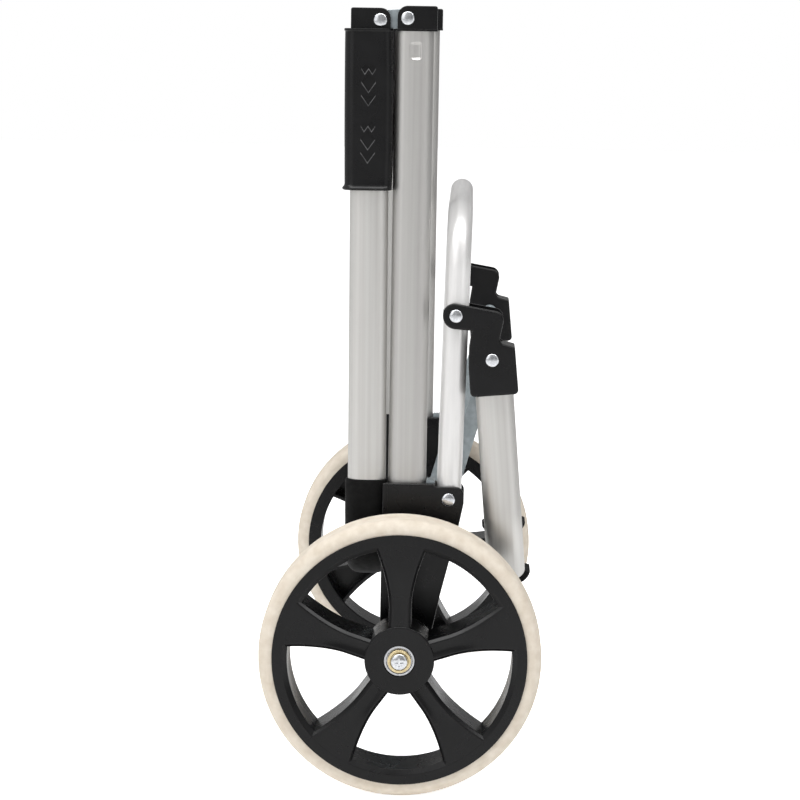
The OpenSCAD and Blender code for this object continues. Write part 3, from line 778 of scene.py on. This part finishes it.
# The floor glows more to the camera than it does to the object, which keeps the blacks black
fn, fl = pale.node_tree.nodes, pale.node_tree.links
glow = fn.new("ShaderNodeMapRange")
glow.inputs["To Min"].default_value = 0.14
glow.inputs["To Max"].default_value = 0.75
fl.new(fn.new("ShaderNodeLightPath").outputs["Is Camera Ray"], glow.inputs["Value"])
fl.new(glow.outputs["Result"], fn["Principled BSDF"].inputs["Emission Strength"])

# White to the camera, and a soft light from the left and above to everything else
world = bpy.data.worlds.new("studio")
scene.world = world
world.use_nodes = True
wn, wl = world.node_tree.nodes, world.node_tree.links
sky = wn["Background"]
split = wn.new("ShaderNodeSeparateXYZ")
wl.new(wn.new("ShaderNodeTexCoord").outputs["Generated"], split.inputs[0])


def shade(op, a, b):
    """A Math node's result from two numbers or outputs."""
    n = wn.new("ShaderNodeMath")
    n.operation = op
    for socket, value in zip(n.inputs, (a, b)):
        if isinstance(value, (int, float)):
            socket.default_value = value
        else:
            wl.new(value, socket)
    return n.outputs[0]


from_front = shade("MULTIPLY", split.outputs["Y"], -0.04)
from_left = shade("MULTIPLY", split.outputs["X"], -0.26)
from_above = shade("MULTIPLY", split.outputs["Z"], 0.26)
level = shade("ADD", shade("ADD", from_front, from_left), shade("ADD", from_above, 0.35))
seen = wn.new("ShaderNodeLightPath").outputs["Is Camera Ray"]
plain = wn.new("ShaderNodeBackground")
plain.inputs["Strength"].default_value = 1.0
plain.inputs["Color"].default_value = (1, 1, 1, 1)
wl.new(level, sky.inputs["Strength"])
sky.inputs["Color"].default_value = (1, 1, 1, 1)
chosen = wn.new("ShaderNodeMixShader")
wl.new(seen, chosen.inputs[0])
wl.new(sky.outputs[0], chosen.inputs[1])
wl.new(plain.outputs[0], chosen.inputs[2])
wl.new(chosen.outputs[0], wn["World Output"].inputs["Surface"])


def softbox(name, at, size, energy, aim=(0.0, 0.0, 0.3)):
    """A rectangular light that faces the object's middle, its places in metres."""
    lamp = bpy.data.lights.new(name, "AREA")
    lamp.shape = "RECTANGLE"
    lamp.size, lamp.size_y = size
    lamp.energy = energy
    obj = bpy.data.objects.new(name, lamp)
    scene.collection.objects.link(obj)
    obj.location = at
    obj.rotation_euler = (Vector(aim) - Vector(at)).to_track_quat("-Z", "Y").to_euler()


softbox("key", (-1.2, -1.8, 1.3), (1.6, 2.0), 7.5)
softbox("fill", (1.7, -1.5, 0.9), (1.4, 1.8), 4)
softbox("top", (0.0, -0.6, 1.8), (3.4, 0.55), 30)

# The camera stands level with the object's top and looks down a little
cam = bpy.data.objects.new("camera", bpy.data.cameras.new("camera"))
scene.collection.objects.link(cam)
scene.camera = cam
cam.data.sensor_width = 36.0
cam.data.lens = 110.097
cam.data.clip_start, cam.data.clip_end = 0.05, 60
yaw, pitch, roll = (math.radians(v) for v in (1.561, 8.746, 0.935))
back = Vector((math.sin(yaw) * math.cos(pitch), -math.cos(yaw) * math.cos(pitch), math.sin(pitch)))
across = Vector((math.cos(yaw), math.sin(yaw), 0))
upward = back.cross(across)
right = across * math.cos(roll) + upward * math.sin(roll)
up = upward * math.cos(roll) - across * math.sin(roll)
cam.matrix_world = Matrix((right, up, back)).transposed().to_4x4()
cam.location = (0.04307, -1.8857, 0.5425)
scene.view_settings.view_transform = "Standard"
